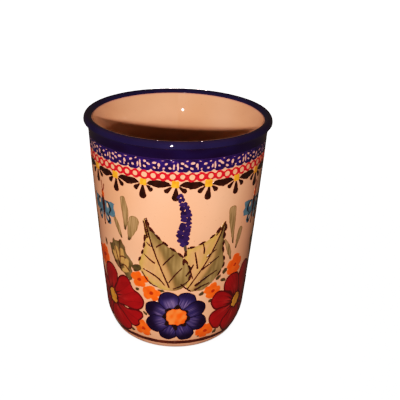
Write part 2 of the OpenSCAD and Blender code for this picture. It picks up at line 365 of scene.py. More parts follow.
def build(name, verts, faces, nodes, material, rgb=None, flat_from=None):
    me = bpy.data.meshes.new(name)
    me.from_pydata((np.asarray(verts) * MM).tolist(), [], faces)
    soft = np.ones(len(faces), bool)
    if flat_from is not None:
        soft[flat_from:] = False
    me.polygons.foreach_set("use_smooth", soft)
    if rgb is not None:
        col = me.color_attributes.new("paint", "FLOAT_COLOR", "POINT")
        rgba = np.ones((len(verts), 4), np.float32)
        rgba[:, :3] = lin(np.clip(rgb, 0, 255))
        col.data.foreach_set("color", rgba.ravel())
    me.materials.append(material)
    me.update()
    obj = bpy.data.objects.new(name, me)
    bpy.context.scene.collection.objects.link(obj)
    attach(obj, "root")
    if nodes:
        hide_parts(*nodes)
    return obj


def turned(name, path, nodes, material, shade, segments):
    """A body of revolution from (r, z) points; shade(phi, r, z) gives its colours."""
    p = np.asarray(path, float)
    a = 2 * math.pi * np.arange(segments) / segments
    verts, rings = [], []
    for r, z in p:
        if r < 1e-6:
            rings.append([len(verts)])
            verts.append((0, 0, z))
        else:
            rings.append(list(range(len(verts), len(verts) + segments)))
            verts += [(r * math.sin(t), -r * math.cos(t), z) for t in a]
    faces = []
    for lo, hi in zip(rings[:-1], rings[1:]):
        for i in range(segments):
            j = (i + 1) % segments
            if len(lo) == 1:
                faces.append((lo[0], hi[j], hi[i]))
            elif len(hi) == 1:
                faces.append((lo[i], lo[j], hi[0]))
            else:
                faces.append((lo[i], lo[j], hi[j], hi[i]))
    v = np.array(verts)
    rgb = shade(np.degrees(np.arctan2(v[:, 0], -v[:, 1])), np.hypot(v[:, 0], v[:, 1]), v[:, 2])
    return build(name, v, faces, nodes, material, rgb=rgb)


# ---------------------------------------------------------------- materials
def ceramic(name, rough, mottle, size, speck=0.0, bump=0.0, bump_size=60.0, rough_var=0.0,
            specular=0.5):
    """Paint colour from the mesh, with soft mottling, and glaze gloss on top."""
    mat = bpy.data.materials.new(name)
    mat.use_nodes = True
    nt = mat.node_tree
    nt.nodes.clear()
    node = nt.nodes.new
    out, bsdf = node("ShaderNodeOutputMaterial"), node("ShaderNodeBsdfPrincipled")
    nt.links.new(bsdf.outputs[0], out.inputs[0])
    coord = node("ShaderNodeTexCoord")
    paint = node("ShaderNodeAttribute")
    paint.attribute_name = "paint"

    def noise_node(scale, detail):
        n = node("ShaderNodeTexNoise")
        n.inputs["Scale"].default_value = scale
        n.inputs["Detail"].default_value = detail
        n.inputs["Roughness"].default_value = 0.55
        nt.links.new(coord.outputs["Object"], n.inputs["Vector"])
        return n

    def ramp(src, lo, hi, a, b):
        m = node("ShaderNodeMapRange")
        m.inputs["From Min"].default_value, m.inputs["From Max"].default_value = lo, hi
        m.inputs["To Min"].default_value, m.inputs["To Max"].default_value = a, b
        nt.links.new(src, m.inputs["Value"])
        return m

    cloud = noise_node(size * 10, 4)
    shade = ramp(cloud.outputs["Fac"], 0.3, 0.7, 1 - mottle, 1 + mottle)
    mul = node("ShaderNodeVectorMath")
    mul.operation = "SCALE"
    nt.links.new(paint.outputs["Color"], mul.inputs[0])
    nt.links.new(shade.outputs[0], mul.inputs["Scale"])
    colour = mul.outputs[0]
    if speck:
        dots = noise_node(1400, 1)
        mask = ramp(dots.outputs["Fac"], 0.74, 0.80, 0, speck)
        m = node("ShaderNodeMix")
        m.data_type = "RGBA"
        m.inputs[7].default_value = (*lin((120, 70, 40)), 1)
        nt.links.new(mask.outputs[0], m.inputs[0])
        nt.links.new(colour, m.inputs[6])
        colour = m.outputs[2]
    nt.links.new(colour, bsdf.inputs["Base Color"])
    bsdf.inputs["Roughness"].default_value = rough
    bsdf.inputs["Specular IOR Level"].default_value = specular
    if rough_var:
        r = ramp(noise_node(350, 3).outputs["Fac"], 0.3, 0.7, rough - rough_var, rough + rough_var)
        nt.links.new(r.outputs[0], bsdf.inputs["Roughness"])
    if bump:
        b = node("ShaderNodeBump")
        b.inputs["Distance"].default_value = bump * MM
        b.inputs["Strength"].default_value = 1.0
        nt.links.new(noise_node(bump_size * 10, 3).outputs["Fac"], b.inputs["Height"])
        nt.links.new(b.outputs[0], bsdf.inputs["Normal"])
    return mat


CREAM_GLAZE = ceramic("cream_glaze", 0.12, mottle=0.03, size=6, speck=0.5, bump=0.02,
                      bump_size=14, rough_var=0.04)
LINER_GLAZE = ceramic("liner_glaze", 0.035, mottle=0.03, size=6, speck=0.5, bump=0.012,
                      bump_size=10, rough_var=0.01)
COBALT_GLAZE = ceramic("cobalt_glaze", 0.028, mottle=0.14, size=9, bump=0.008, bump_size=12,
                       rough_var=0.01)
BARE_CLAY = ceramic("bare_clay", 0.85, mottle=0.08, size=30, speck=0.8, bump=0.12,
                    bump_size=110, rough_var=0.08, specular=0.3)
BASE_GLAZE = ceramic("base_glaze", 0.18, mottle=0.05, size=10, speck=0.6, bump=0.03,
                     bump_size=20, rough_var=0.05)


def paint_material(name):
    return ceramic(name, 0.12, mottle=0.08, size=30)


# ---------------------------------------------------------------- clay and glazes
def clay_colour(phi, r, z):
    c = mix(CLAY, CLAY * 0.93, 0.5 + 0.5 * noise(phi * 0.5, z + r, 6, 3))
    return mix(c, CLAY * (0.86, 0.8, 0.74), smooth(BARE_H - 1.2, BARE_H, z))


ring_out, ring_in = float(full_r(0.0)) - GLAZE_T, float(full_r(0.0)) - GLAZE_T - 3.6
soft_edge = 0.35
wall_z = np.linspace(0.9, 97, 60)
clay_path = (
    [(0, RECESS_H + 0.02), (ring_in - 1.2, RECESS_H + 0.02)]
    + [(ring_in - soft_edge - 0.3 * (1 - t) + 0.1, 0.4 + 1.5 * (1 - t)) for t in (0, 0.5, 1)]
    + [(ring_in + 0.05, 0.15), (ring_in + 0.35, 0.0), (ring_out - 0.45, 0.0),
       (ring_out - 0.12, 0.12), (ring_out + 0.03, 0.45)]
    + [(float(full_r(z)) - (GLAZE_T + 0.02 if z > BARE_H + 0.2 else 0.12), z) for z in wall_z]
    + [(LIP_C - 0.5, LIP_Z)]
    + [(float(bore_r(z)) + GLAZE_T, z) for z in np.linspace(96, FLOOR_Z + CORNER_R, 20)]
    + [(float(bore_r(FLOOR_Z + CORNER_R)) - CORNER_R + (CORNER_R + GLAZE_T) * math.cos(t),
        FLOOR_Z + CORNER_R - (CORNER_R + GLAZE_T) * math.sin(t))
       for t in np.linspace(0.2, math.pi / 2, 8)]
    + [(0, FLOOR_Z - GLAZE_T)]
)
turned("clay_body_turned", clay_path, ["clay_body"], BARE_CLAY, clay_colour, 256)


def cream_outside(phi, r, z):
    c = mix(CREAM, CREAM * (0.98, 0.95, 0.92), 0.5 + 0.5 * noise(phi * 0.6, z, 14, 5))
    c = mix(c, BAND_GROUND, 0.6 * smooth(STAMP_Z - 0.2, STAMP_Z + 0.8, z))
    edge = smooth(BARE_H + 2.2, BARE_H, z)
    return mix(c, GLAZE_EDGE, 0.55 * edge)


glaze_edge = [(float(full_r(BARE_H)) - GLAZE_T, BARE_H),
              (float(full_r(BARE_H)) - 0.1, BARE_H - 0.02),
              (float(full_r(BARE_H)) - 0.02, BARE_H + 0.12)]
outer = glaze_edge + [(float(full_r(z)), z) for z in np.linspace(BARE_H + 0.3, COBALT_Z + 0.1, 110)]
outer.append((float(full_r(COBALT_Z + 0.1)) - GLAZE_T, COBALT_Z + 0.1))
turned("outer_glaze_coat", outer, ["outer_glaze"], CREAM_GLAZE, cream_outside, 384)


def cobalt_colour(phi, r, z):
    # painted light: from the crease up, the lip is painted a lighter blue, as where it faces the
    # lamp
    face = COBALT_LIT_LIP
    c = mix(COBALT_DARK, COBALT, 0.45 + 0.3 * noise(phi * 0.65, z * 2, 6, 7))
    c = mix(c, face,
            smooth(NECK_Z - 0.4, NECK_Z + 1.2, z) * (0.8 + 0.2 * noise(phi * 0.65, z, 8, 8)))
    thin = smooth(LIP_Z + 1.2, HEIGHT, z) * smooth(-2.2, 0.2, r - CREST_R)
    return mix(c, COBALT_THIN, 0.35 * thin)


wall_top = [(float(full_r(z)) + 0.015, z) for z in np.linspace(COBALT_Z, NECK_Z - 0.1, 18)]
roll = [lip_point(a) for a in np.linspace(-60, LINER_EDGE, 46)]
cobalt_path = [(float(full_r(COBALT_Z)) - 0.2, COBALT_Z)] + wall_top + roll
cobalt_path.append((roll[-1][0] + 0.3, roll[-1][1] - 0.1))
cobalt_path = [(min(r, RIM_R - 0.006), min(z, HEIGHT - 0.006)) for r, z in cobalt_path]
turned("cobalt_rim_coat", cobalt_path, ["cobalt_rim"], COBALT_GLAZE,
       cobalt_colour, 384)


def liner_colour(phi, r, z):
    c = mix(CREAM, CREAM * (0.97, 0.94, 0.9), 0.5 + 0.5 * noise(phi * 0.5, z, 12, 9)) * 0.96
    # painted shade: the liner is darkened deep in the well, towards the floor, where the inside of
    # the mug lies in shadow
    c = c * mix(np.ones(3), np.array((0.74, 0.66, 0.6)), smooth(92, 76, z))
    return mix(c, COBALT_BLEED, 0.5 * smooth(LIP_Z + 0.1, LIP_Z + 0.66, z))


inner_lip = [lip_point(a, 0.01) for a in (LINER_EDGE - 1, LINER_EDGE, LINER_EDGE + 1)]
bore = [(float(bore_r(z)), z) for z in np.linspace(LIP_Z - FLARE_H / 2, FLOOR_Z + CORNER_R, 70)]
# From the lip the glaze runs straight down to the middle of the flare.
upper = [tuple(np.array(inner_lip[-1]) * (1 - t) + np.array(bore[0]) * t)
         for t in np.linspace(0, 1, 14)[1:-1]]
well = [(float(bore_r(FLOOR_Z + CORNER_R)) - CORNER_R + CORNER_R * math.cos(t),
         FLOOR_Z + CORNER_R - CORNER_R * math.sin(t)) for t in np.linspace(0, math.pi / 2, 14)[1:]]
floor_in = [(r, FLOOR_Z) for r in (18, 12, 6, 0)]
turned("liner_glaze_coat", inner_lip + upper + bore + well + floor_in,
       ["liner_glaze"],
       LINER_GLAZE, liner_colour, 320)


def base_colour(phi, r, z):
    c = mix(CREAM * 0.97, CREAM * (0.93, 0.86, 0.8), 0.5 + 0.5 * noise(r, phi * 0.2, 6, 11))
    return mix(c, BASE_EDGE, 0.6 * smooth(20.4, 21.6, r))


base_path = [(0, RECESS_H - 0.3), (10, RECESS_H - 0.3), (18, RECESS_H - 0.3), (21, RECESS_H - 0.28),
             (21.6, RECESS_H - 0.15), (21.8, RECESS_H + 0.05)]
turned("base_glaze_patch", base_path[::-1], ["base_glaze"], BASE_GLAZE,
       base_colour, 192)


# ---------------------------------------------------------------- bands
def tiles(x, pitch, depth):
    """Largest of depth(local x, tile number) over the tiles around each point."""
    k0 = np.floor(x / pitch).astype(int)
    return np.maximum.reduce([depth(x - (k0 + d + 0.5) * pitch, k0 + d) for d in (-1, 0, 1)])


def pick(seed, count, spread):
    """A random amount for each tile, the same on every run."""
    values = np.random.default_rng(seed).uniform(-spread, spread, count)
    return lambda k: values[np.mod(k, count)]


# Spots of one stamped unit: x, height over the band's foot, half axes, tilt
UNIT_SPOTS = [
    (0.0, 2.6, 0.42, 2.0, 4), (1.9, 4.1, 0.8, 0.58, -20), (3.4, 3.0, 1.0, 0.5, -35),
    (1.8, 1.9, 0.8, 0.48, -25), (3.8, 4.9, 0.7, 0.24, 0), (5.9, 3.8, 0.95, 0.55, 4),
    (5.7, 1.6, 0.85, 0.5, -28), (7.9, 2.9, 0.62, 0.95, 0), (7.9, 1.8, 0.3, 0.8, 0),
    (9.0, 4.7, 0.85, 0.24, 3), (9.7, 1.5, 0.55, 0.42, 30), (11.0, 3.7, 0.85, 0.5, 24),
    (12.1, 1.8, 0.68, 0.5, -15), (13.3, 4.6, 0.62, 0.3, 8), (13.9, 2.6, 0.45, 1.3, -8),
]
STAMPS = 16
BAND_R = 38.6


def stamp_paint(layer):
    x, z = layer.x, layer.y
    pitch = 2 * math.pi * BAND_R / STAMPS
    foot = STAMP_Z
    jx, jz = pick(21, STAMPS, 0.25), pick(22, STAMPS, 0.18)
    grow = pick(23, STAMPS * 40, 0.14)

    def spots(u, k):
        u = u + pitch / 2
        best = np.full(u.shape, -9.0)
        for n, (sx, sz, a, b, deg) in enumerate(UNIT_SPOTS):
            g = 0.66 + grow(k * 17 + n)
            d = ellipse(u - jx(k + n), z - foot - jz(3 * k + n), sx, sz, a, b, deg, 2.3)
            best = np.maximum(best, d + 0.35 * (g - 1))
        return best

    holes = tiles(x, pitch, spots) + 0.07 * noise(x, z, 0.7, 24)
    third = pitch / 3
    cusp = (1 - np.abs(np.sin(math.pi * (x + 0.4) / third))) ** 2.2
    low = z - (foot + 0.02 + 0.95 * cusp + 0.1 * noise(x, z, 1.5, 25))
    depth = np.minimum.reduce([low, COBALT_Z + 0.25 - z, -holes])
    rgb = mix(STAMP_BLUE, COBALT_DARK, 0.3 + 0.3 * noise(x, z, 2.2, 26))
    rgb = mix(rgb, COBALT_DARK, 0.6 * smooth(COBALT_Z - 0.8, COBALT_Z + 0.2, z))
    thin = smooth(0.28, 0.0, depth)
    layer.put(depth, mix(rgb, STAMP_EDGE, 0.5 * thin))


def chain_paint(layer):
    x, z = layer.x, layer.y
    count = 63
    pitch = 2 * math.pi * BAND_R / count
    zc = CHAIN_Z + 1.95
    jz, jx, jo, ji = (pick(s, count, a) for s, a in ((31, 0.14), (32, 0.16), (33, 0.1), (34, 0.12)))
    ring = lambda u, k: 2.0 + jo(k) - np.hypot(u - jx(k), z - zc - jz(k))
    hole = lambda u, k: 1.04 + ji(k) - np.hypot(u - jx(k + 5), z - zc - jz(k) - 0.05)
    web = lambda u, k: 1.2 - np.abs(z - zc) - 0.5 * np.maximum(0, np.abs(u) - pitch * 0.8)
    body = np.maximum(tiles(x, pitch, ring), tiles(x, pitch, web))
    depth = np.minimum(body, -tiles(x, pitch, hole)) + 0.05 * noise(x, z, 0.8, 35)
    rgb = mix(RED_RING, RED_RING * (0.86, 0.6, 0.7), 0.5 + 0.5 * noise(x, z, 1.6, 36))
    layer.put(depth, mix(rgb, RING_EDGE, 0.4 * smooth(0.2, 0.0, depth)))


GARLANDS = 18
DOT_Z = 84.0
DOT_R = 38.0


def garland_shift(x):
    """The first dot stands a degree left of the front."""
    return x + DOT_R * math.radians(1.0) + math.pi * DOT_R / GARLANDS


def garland_paint(layer):
    x, z = layer.x, layer.y
    pitch = 2 * math.pi * DOT_R / GARLANDS
    j = [pick(41 + n, GARLANDS, 0.22) for n in range(8)]

    def shapes(u, k):
        v = z - DOT_Z
        parts = [
            capsule(u, v, (0.1 + j[0](k), -1.9), (j[1](k), -5.8), 0.55, 1.6 + 0.5 * j[2](k)),
            capsule(u, v, (-1.6, -1.3), (-3.3 + j[3](k), -3.0 + j[4](k)), 0.38, 1.12),
            capsule(u, v, (1.6, -1.2), (3.4 + j[5](k), -2.9 + j[6](k)), 0.38, 1.12),
        ]
        for s, dip in ((1, j[2](k)), (-1, j[5](k))):
            d, t = stroke(u * s, v - dip * smooth(1.6, 6.0, u * s), [
                (1.6, -0.5), (3.6, -0.1), (5.4, -0.25), (6.9, -0.45)], (0.2, 0.95, 1.4, 1.6, 1.6))
            parts.append(d)
        return np.maximum.reduce(parts)

    depth = tiles(garland_shift(x), pitch, shapes) + 0.07 * noise(x, z, 1.0, 50)
    rgb = mix(INK, LINE, 0.25 + 0.3 * noise(x, z, 1.6, 51))
    layer.put(depth, mix(rgb, INK_EDGE, 0.35 * smooth(0.2, 0, depth)))


def dot_paint(layer):
    x, z = layer.x, layer.y
    pitch = 2 * math.pi * DOT_R / GARLANDS
    j = [pick(61 + n, GARLANDS, 0.22) for n in range(4)]

    def shape(u, k):
        v = z - DOT_Z - j[1](k)
        r = np.hypot(u - j[0](k), v)
        star = 0.22 * np.cos(4 * np.arctan2(v, u - j[0](k)) + 1.5 * j[3](k))
        return 1.66 + 0.5 * j[2](k) - star - r

    depth = tiles(garland_shift(x), pitch, shape) + 0.08 * noise(x, z, 0.9, 65)
    rgb = mix(YELLOW, YELLOW * (0.95, 0.82, 0.7), 0.5 + 0.5 * noise(x, z, 1.2, 66))
    layer.put(depth, rgb)


def full_band(name, slot, node, lift, ref_r, z0, z1, step, paint):
    film = Film(lift)
    film.patch(0, ref_r, 0, 2 * math.pi * ref_r, z0, z1, step, paint, wrap=True)
    film.write(name, slot, [node], paint_material(name))


full_band("stamp_band_paint", "cobalt_paint", "stamp_band", 0.03, BAND_R,
          STAMP_Z - 0.4, COBALT_Z + 0.5, 0.17, stamp_paint)
full_band("ring_chain_paint", "red_paint", "ring_chain", 0.05, BAND_R,
          CHAIN_Z - 0.5, STAMP_Z + 0.5, 0.17, chain_paint)
full_band("garland_petals_paint", "brown_black_paint", "garland_petals", 0.04, DOT_R,
          DOT_Z - 8.0, DOT_Z + 2.4, 0.2, garland_paint)
full_band("garland_dots_paint", "yellow_paint", "garland_dots", 0.08, DOT_R,
          DOT_Z - 2.6, DOT_Z + 2.6, 0.2, dot_paint)

# ---------------------------------------------------------------- bouquets
BOUQUETS = (0, 120, 240)
MID_R = 35.6
DEG = MID_R * math.pi / 180          # millimetres along the wall for one degree


def curve(*pts):
    """Points given by bearing and height, as millimetres along and up the wall."""
    return [(p * DEG, z) for p, z in pts]


films = {
    "spikes": Film(0.06), "stems": Film(0.05), "light": Film(0.035), "dark": Film(0.04),
    "veins": Film(0.075), "blue": Film(0.085), "blue_mid": Film(0.1), "red": Film(0.08),
    "red_mid": Film(0.1), "blossom": Film(0.055), "blossom_mid": Film(0.07),
    "sprig": Film(0.03), "side": Film(0.035), "bud": Film(0.045), "wing": Film(0.03),
    "insect": Film(0.05),
}


def patch(key, phi0, box, step, paint):
    p0, p1, z0, z1 = box
    films[key].patch(phi0, MID_R, p0 * DEG, p1 * DEG, z0, z1, step, paint)


# The spike, half the rib points and a third of the leaf points follow values that a scratch
# tool printed from the photograph: see Known faults in report.md.
SPIKE = curve((1.9, 78.8), (3.9, 75.6), (5.5, 72.4), (6.0, 69.3), (5.8, 66.0), (5.0, 62.8),
              (4.6, 59.5), (5.4, 56.2))
LEFT_RIB = curve((-20.3, 67.3), (-17.6, 59.0), (-13.6, 50.5), (-9.0, 42.5), (-4.5, 35.2))
RIGHT_RIB = curve((33.4, 64.8), (28.8, 57.0), (22.4, 48.3), (15.5, 41.2), (8.6, 34.4))
LEFT_LEAF = curve((-20.6, 67.6), (-20.6, 61.0), (-21.4, 55.5), (-23.6, 50.0), (-26.4, 45.5),
                  (-24.6, 41.0), (-19.0, 37.0), (-11.0, 34.2), (-3.5, 33.4), (4.5, 34.5),
                  (9.2, 38.5), (9.8, 44.0), (6.5, 48.8), (1.0, 52.6), (-5.5, 55.6),
                  (-11.0, 59.0), (-16.0, 62.8))
RIGHT_LEAF = curve((33.6, 65.2), (27.2, 60.4), (20.7, 57.6), (12.8, 55.2), (7.2, 54.0),
                   (5.4, 48.0), (6.4, 40.0), (8.2, 34.2), (16.0, 32.6), (24.0, 34.4),
                   (31.0, 38.6), (35.4, 44.0), (34.4, 48.8), (33.2, 53.0), (33.8, 58.6))


def leaf_paint(outline, rib, want_left, seed):
    """One half of a leaf, left or right of its rib, as washes of glaze colour."""
    edge, ribs = spline(outline, 6), spline(rib, 6, closed=False)
    # The rib is drawn out past both ends, so it parts the whole leaf.
    long_rib = np.vstack([ribs[0] + (ribs[0] - ribs[3]) * 1.2, ribs,
                          ribs[-1] + (ribs[-1] - ribs[-4]) * 1.6])

    def paint(layer):
        x, z = layer.x, layer.y
        wob = 0.22 * noise(x, z, 2.4, seed)
        body = inside(x, z, edge) + wob
        d, t, side = near(x, z, long_rib)
        # the rib runs down the leaf, so what lies to the viewer's left is on its right
        signed = np.where(side > 0, d, -d)
        half = -signed if want_left else signed
        depth = np.minimum(body, half + 0.05)
        hairs = streaks(z, x, 0.9, 9, seed + 1)
        lumps = noise(x, z, 5, seed + 2)
        if want_left:
            rgb = mix(OCHRE, OCHRE_YELLOW, smooth(3.2, 0.2, body) * 0.75 + 0.18 * lumps)
            rgb = mix(rgb, OLIVE, 0.35 * smooth(1.2, 0.0, body) + 0.1 * hairs)
        else:
            rgb = mix(OLIVE, OLIVE_DARK, 0.3 + 0.3 * hairs + 0.25 * lumps)
            pale = smooth(0.25, 0.6, t) * smooth(4.6, 2.0, half) * smooth(1.06, 0.8, t)
            rgb = mix(rgb, OCHRE, 0.85 * pale)
            band = np.exp(-((half - 1.2 - 7.0 * t * (1.2 - t)) / 1.3) ** 2)
            rgb = mix(rgb, OLIVE_DARK, 0.6 * band)
            rgb = mix(rgb, OLIVE_DARK, 0.3 * smooth(0.9, 0.0, body))
        layer.put(depth, rgb)

    return paint


def right_leaf_left(layer):
    leaf_paint(RIGHT_LEAF, RIGHT_RIB, True, 130)(layer)
    x, z = layer.x, layer.y
    d, t = stroke(x, z, curve((27.0, 58.5), (21.5, 51.0), (17.0, 44.5)), (0.4, 1.4, 0.5))
    layer.tint(0.55 * smooth(-0.8, 0.8, d), OCHRE_YELLOW * 0.95)


def dashes(outline, start, stop, gap, cover, seed):
    """Broken pen strokes just inside an outline, between two shares of its length."""
    path = spline(outline, 10)
    steps = np.hypot(*np.diff(np.vstack([path, path[:1]]), axis=0).T)
    run = np.concatenate([[0], np.cumsum(steps)])
    total = run[-1]
    rng = np.random.default_rng(seed)
    out, s = [], start * total
    while s < stop * total:
        ln = gap * cover * rng.uniform(0.8, 1.2)
        q = []
        for v in np.linspace(s, min(s + ln, stop * total), 4):
            i = min(np.searchsorted(run, v) - 1, len(path) - 1)
            i = max(i, 0)
            a, b = path[i], path[(i + 1) % len(path)]
            q.append(a + (b - a) * (v - run[i]) / steps[i])
        shift = rng.uniform(-0.25, 0.15)
        q = np.array(q)
        tang = q[-1] - q[0]
        q += np.array([-tang[1], tang[0]]) / (np.hypot(*tang) + 1e-9) * shift
        out.append((q, (0.3, 0.54, 0.5, 0.26)))
        s += gap * rng.uniform(0.9, 1.15)
    return out


LEFT_VEINS = [
    (curve((-19.4, 56.4), (-18.0, 55.3), (-15.8, 54.8)), (0.2, 0.32, 0.25)),
    (curve((-21.8, 50.5), (-18.5, 48.6), (-14.6, 46.8)), (0.2, 0.32, 0.38)),
    (curve((-22.6, 43.0), (-17.5, 41.6), (-12.0, 39.4), (-7.6, 36.2)), (0.25, 0.32, 0.34, 0.2)),
    (curve((-24.0, 41.6), (-20.0, 37.6), (-16.0, 35.6), (-13.0, 35.0)), (0.2, 0.3, 0.34, 0.2)),
    (curve((-7.6, 57.2), (-10.2, 56.2), (-13.0, 54.8)), (0.25, 0.3, 0.24)),
    (curve((-1.4, 51.6), (-5.4, 48.8), (-8.6, 46.2)), (0.2, 0.3, 0.24)),
    (curve((4.2, 45.0), (-0.6, 41.4), (-4.4, 37.8)), (0.2, 0.28, 0.2)),
    (curve((9.0, 38.4), (4.6, 36.2), (-1.4, 34.4)), (0.2, 0.3, 0.22)),
    (curve((-21.6, 66.4), (-20.2, 62.4), (-19.2, 58.8)), (0.2, 0.36, 0.3)),
    (curve((-19.4, 67.8), (-18.0, 64.4), (-16.8, 62.2)), (0.18, 0.3, 0.2)),
]
RIGHT_VEINS = [
    (curve((18.2, 56.0), (19.0, 53.6), (19.2, 51.6)), (0.22, 0.3, 0.3)),
    (curve((12.8, 52.4), (14.0, 48.4), (15.0, 44.6)), (0.25, 0.32, 0.34)),
    (curve((8.6, 46.2), (10.6, 42.4), (11.8, 39.6)), (0.25, 0.32, 0.2)),
    (curve((28.0, 52.4), (24.6, 51.0), (21.4, 49.4)), (0.2, 0.28, 0.24)),
    (curve((30.4, 48.4), (24.6, 46.2), (18.4, 43.4)), (0.2, 0.3, 0.34)),
    (curve((29.6, 41.6), (22.0, 39.2), (14.4, 35.8)), (0.22, 0.4, 0.55)),
    (curve((24.4, 36.0), (19.0, 35.0), (14.2, 33.6)), (0.2, 0.36, 0.45)),
    (curve((33.0, 64.4), (30.2, 61.6), (27.4, 59.4)), (0.2, 0.32, 0.26)),
    (curve((34.0, 63.8), (33.2, 60.4), (32.6, 57.4)), (0.2, 0.3, 0.22)),
    (curve((12.0, 46.4), (9.8, 43.4), (7.4, 41.2)), (0.25, 0.4, 0.35)),
    (curve((4.0, 36.8), (7.6, 34.6), (11.0, 33.0)), (0.25, 0.35, 0.25)),
]


def vein_paint(layer):
    x, z = layer.x, layer.y
    marks = [(LEFT_RIB, (0.26, 0.3, 0.28, 0.3, 0.34)), (RIGHT_RIB, (0.3, 0.32, 0.28, 0.28, 0.26))]
    marks += LEFT_VEINS + RIGHT_VEINS
    marks += dashes(LEFT_LEAF, 0.09, 0.24, 3.6, 0.62, 201)
    marks += dashes(LEFT_LEAF, 0.60, 0.98, 4.0, 0.62, 202)
    marks += dashes(RIGHT_LEAF, 0.04, 0.33, 4.4, 0.56, 203)
    marks += dashes(RIGHT_LEAF, 0.68, 0.98, 3.8, 0.66, 204)
    depth = np.full(x.shape, -9.0)
    wob = 0.06 * noise(x, z, 0.9, 205)
    for pts, widths in marks:
        p = np.asarray(pts)
        lo, hi = p.min(0) - 1.5, p.max(0) + 1.5
        m = (x > lo[0]) & (x < hi[0]) & (z > lo[1]) & (z < hi[1])
        if m.any():
            d, _ = stroke(x[m], z[m], pts, widths)
            depth[m] = np.maximum(depth[m], d)
    layer.put(depth + wob + 0.06, mix(LINE * 0.8, LINE * 1.4, 0.25 + 0.3 * noise(x, z, 3, 206)))


def spike_paint(seed):
    def paint(layer):
        x, z = layer.x, layer.y
        rng = np.random.default_rng(seed)
        path = spline(SPIKE, 8, closed=False)
        rows = 13
        for i in range(rows):
            t = i / (rows - 1)
            p = path[int(t * (len(path) - 2))]
            wide = np.interp(t, (0, 0.3, 0.7, 0.88, 1), (1.0, 1.9, 2.4, 2.9, 1.7))
            for side in ((-1, 1) if i % 2 else (1, -1)):
                cx = p[0] + side * wide * 0.47 + rng.uniform(-0.15, 0.15)
                cz = p[1] + rng.uniform(-0.25, 0.25) + 0.3 * side
                d = ellipse(x, z, cx, cz, wide * rng.uniform(0.56, 0.7), rng.uniform(0.85, 1.1),
                            side * rng.uniform(14, 40), 2.8)
                d = d + 0.1 * noise(x, z, 0.8, seed + i)
                tone = rng.uniform(0, 1)
                rgb = mix(SPIKE_DARK, SPIKE_BLUE,
                          np.full(x.shape, tone * 0.8))
                rgb = mix(rgb, SPIKE_EDGE, 0.45 * smooth(0.12, 0.02, d)
                          * smooth(0.2, 0.6, layer.depth))
                layer.put(np.where(d > 0, d, -1.0) if i else d, rgb)
                layer.depth = np.maximum(layer.depth, d)
    return paint


def stem_paint(layer):
    d, t = stroke(layer.x, layer.y, curve((5.6, 57.0), (6.2, 54.0), (6.8, 51.4)), (0.7, 0.6, 0.4))
    layer.put(d, mix(STEM_GREY, GREEN_DARK, t))


def flower_xy(layer, phi, z):
    """Flat coordinates round a flower centre, true to size at its own height."""
    scale = float(full_r(z)) / MID_R
    return (layer.x - phi * DEG) * scale, layer.y - z


# How pale the brush left each petal, anticlockwise from the upper right one
PETAL_LIGHT = (0.12, 0.52, 0.66, 0.34, 0.38, 0.2, 0.16, 0.3)


def blue_paint(phi, z0, seed, turn):
    def paint(layer):
        u, v = flower_xy(layer, phi, z0)
        rng = np.random.default_rng(seed)
        order = (1, 3, 5, 7, 0, 2, 4, 6)
        for k in order:
            a = math.radians(22.5 + 45 * k + turn + rng.uniform(-3, 3))
            r0 = 9.7 + rng.uniform(-0.3, 0.3)
            c, s = math.cos(a), math.sin(a)
            along, across = u * c + v * s, v * c - u * s
            w = 4.35 + rng.uniform(-0.25, 0.3)
            neck = np.interp(along, (2.0, 5.5, 9.0), (1.4, 3.2, w))
            d = w - np.hypot((along - r0) * 0.98, across)
            wedge = np.minimum(neck - np.abs(across), np.minimum(along - 2.5, r0 - along))
            d = np.maximum(d, wedge) + 0.15 * noise(u, v, 2.0, seed + k)
            lit, tip = PETAL_LIGHT[k], smooth(6.5, 12.6, along)
            hairs = streaks(along, across, 0.42, 6.0, seed + 20 + k)
            dark = np.clip(tip * 0.95 - 0.5 * (lit > 0.5) + 0.12 * hairs, 0, 1)
            rgb = mix(VIOLET, NAVY, dark)
            pale = (smooth(4.2, 6.4, along) * smooth(11.6, 7.4, along)
                    * smooth(3.9, 1.2, np.abs(across)))
            rgb = mix(rgb, LILAC, np.clip(pale * (lit + 0.4 * hairs), 0, 0.8))
            rgb = mix(rgb, NAVY, 0.95 * smooth(0.75, 0.15, d))
            layer.put(d, rgb)
        r, a = np.hypot(u, v), np.arctan2(v, u)
        ring = 5.85 + 0.5 * np.cos(8 * a + 0.6) + 0.6 * noise(u, v, 2.0, seed + 40)
        layer.put(ring - r, np.broadcast_to(HEART_DARK, layer.rgb.shape))
    return paint


def disc_paint(phi, z0, rx, rz, deg, power, rgb_a, rgb_b, seed, wob, lobes=0, depth_of=0.0):
    def paint(layer):
        u, v = flower_xy(layer, phi, z0)
        d = ellipse(u, v, 0, 0, rx, rz, deg, power) + wob * noise(u, v, 1.1, seed)
        if lobes:
            d = d + depth_of * np.cos(lobes * np.arctan2(v, u) + 0.8)
        t = smooth(-0.6, 0.9, 0.55 * u / rx + 0.6 * noise(u, v, 2.2, seed + 1))
        rgb = mix(rgb_a, rgb_b, t)
        layer.put(d, mix(rgb, rgb_b * 0.85, 0.5 * smooth(0.35, 0.0, d)))
    return paint


